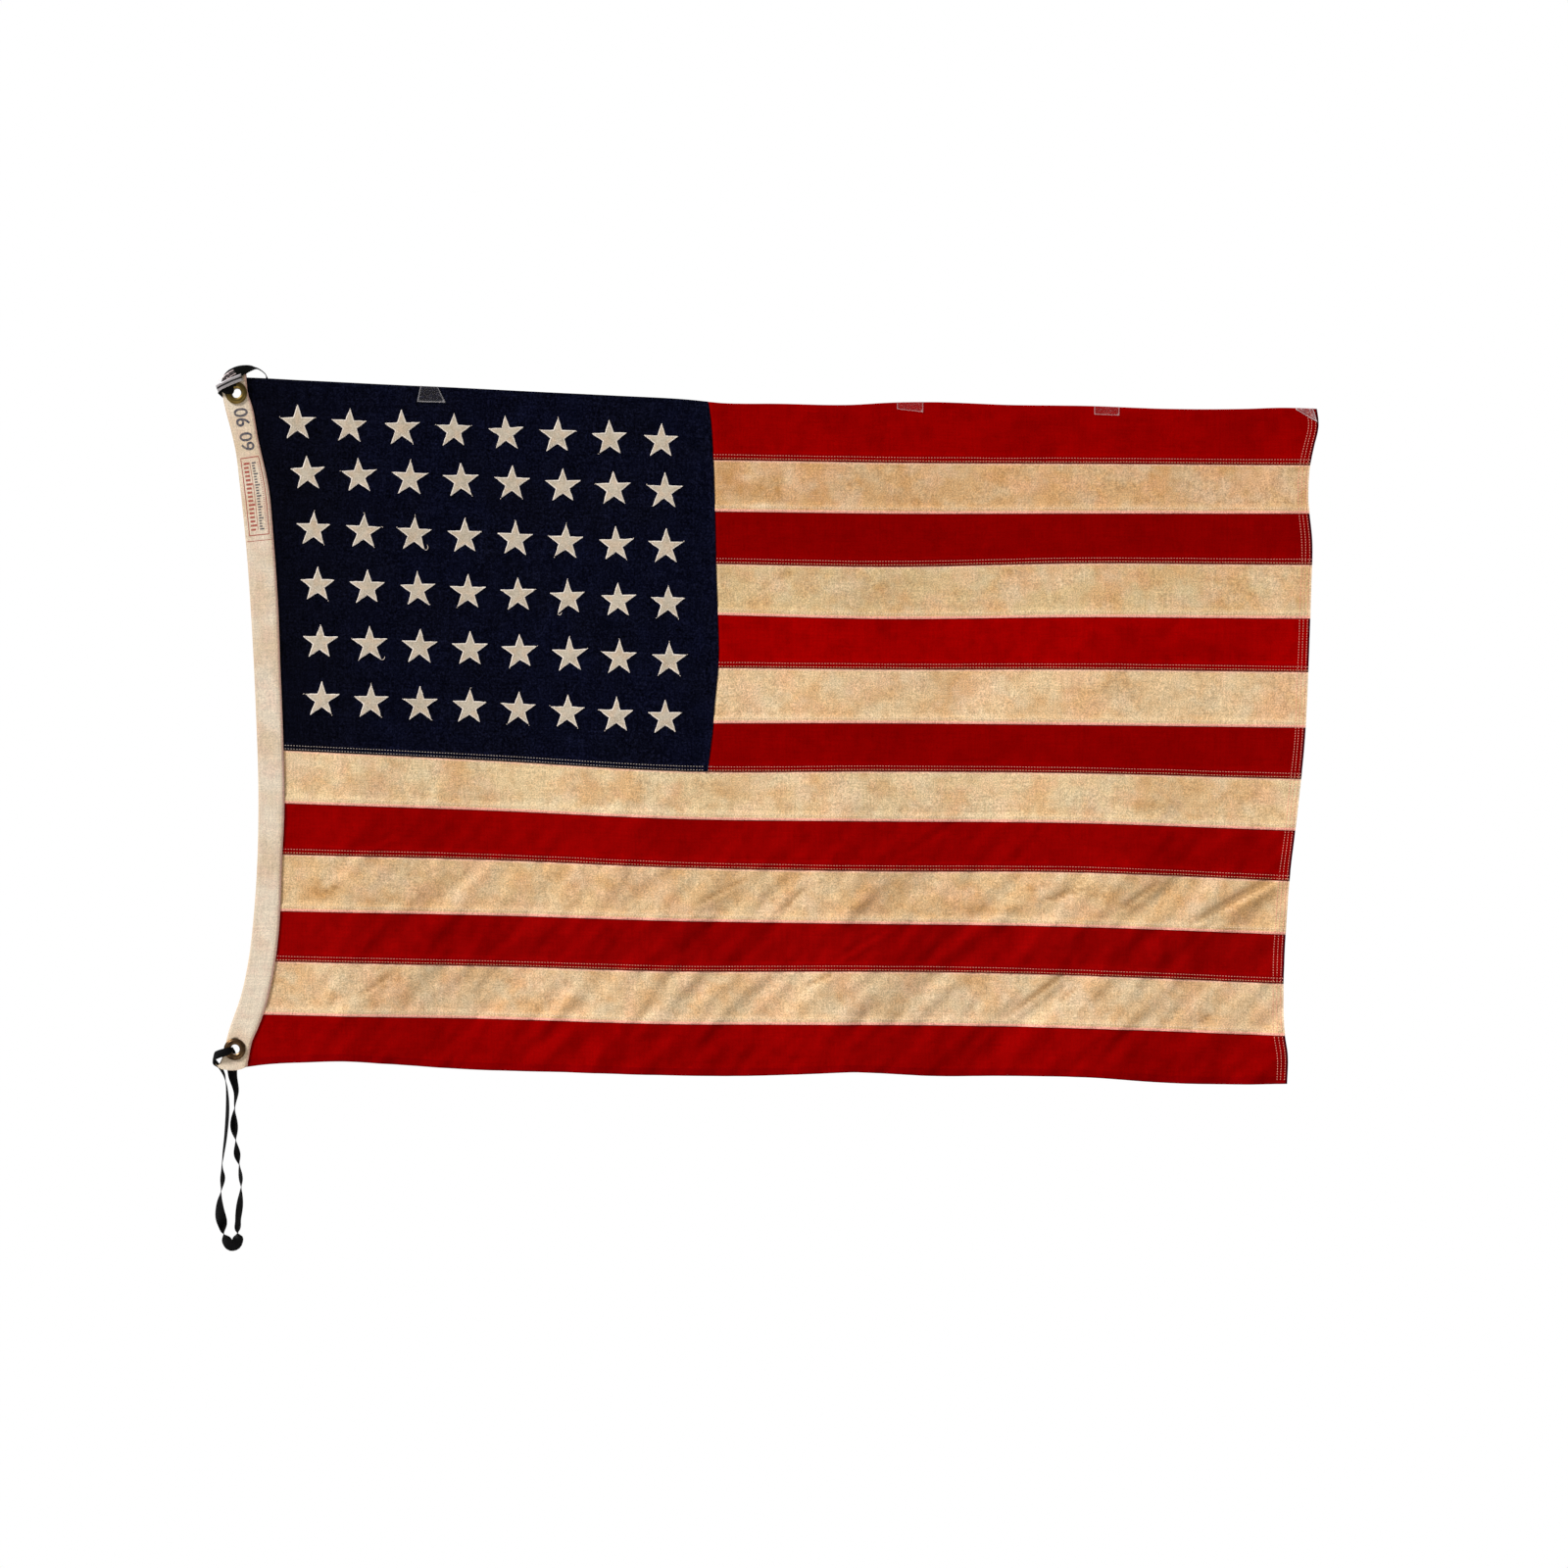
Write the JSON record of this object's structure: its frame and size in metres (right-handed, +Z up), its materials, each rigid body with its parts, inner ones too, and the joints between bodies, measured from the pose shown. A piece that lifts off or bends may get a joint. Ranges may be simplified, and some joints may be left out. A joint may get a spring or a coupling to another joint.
{
  "type": "hanging flag",
  "caption": "Hung cotton flag of sewn stripes with a starred blue canton, a canvas heading with brass eyelets, black ribbon ties and clear tape along its top edge.",
  "frame": {"origin": "middle of the cloth's top edge", "axes": "+X along the cloth from the heading to the fly, +Y away from the viewer into what it hangs against, +Z up"},
  "size_m": [0.9692, 0.0166, 0.7774],
  "materials": {
    "heading_canvas": "unbleached canvas tape, aged, with stamped marks",
    "blue_cotton": "navy cotton bunting, matt, lightly faded",
    "red_cotton": "deep red cotton bunting, matt",
    "white_cotton": "white cotton bunting aged to cream and tan, mottled with old stains",
    "aged_brass": "darkened brass with bright rubbed edges",
    "black_ribbon": "black woven ribbon, slight sheen",
    "clear_tape": "clear adhesive tape, glossy"
  },
  "bodies": {
    "root": {"heading": "heading_canvas", "canton": "blue_cotton", "stripe_01": "red_cotton", "stripe_02": "white_cotton", "stripe_03": "red_cotton", "stripe_04": "white_cotton", "stripe_05": "red_cotton", "stripe_06": "white_cotton", "stripe_07": "red_cotton", "stripe_08": "white_cotton", "stripe_09": "red_cotton", "stripe_10": "white_cotton", "stripe_11": "red_cotton", "stripe_12": "white_cotton", "stripe_13": "red_cotton", "eyelet_upper": "aged_brass", "eyelet_lower": "aged_brass", "washer_upper": "aged_brass", "washer_lower": "aged_brass", "tie_upper": "black_ribbon", "tie_lower": "black_ribbon", "tape_hoist": "clear_tape", "tape_canton": "clear_tape", "tape_middle": "clear_tape", "tape_fly": "clear_tape", "tape_corner": "clear_tape"}
  },
  "joints": []
}
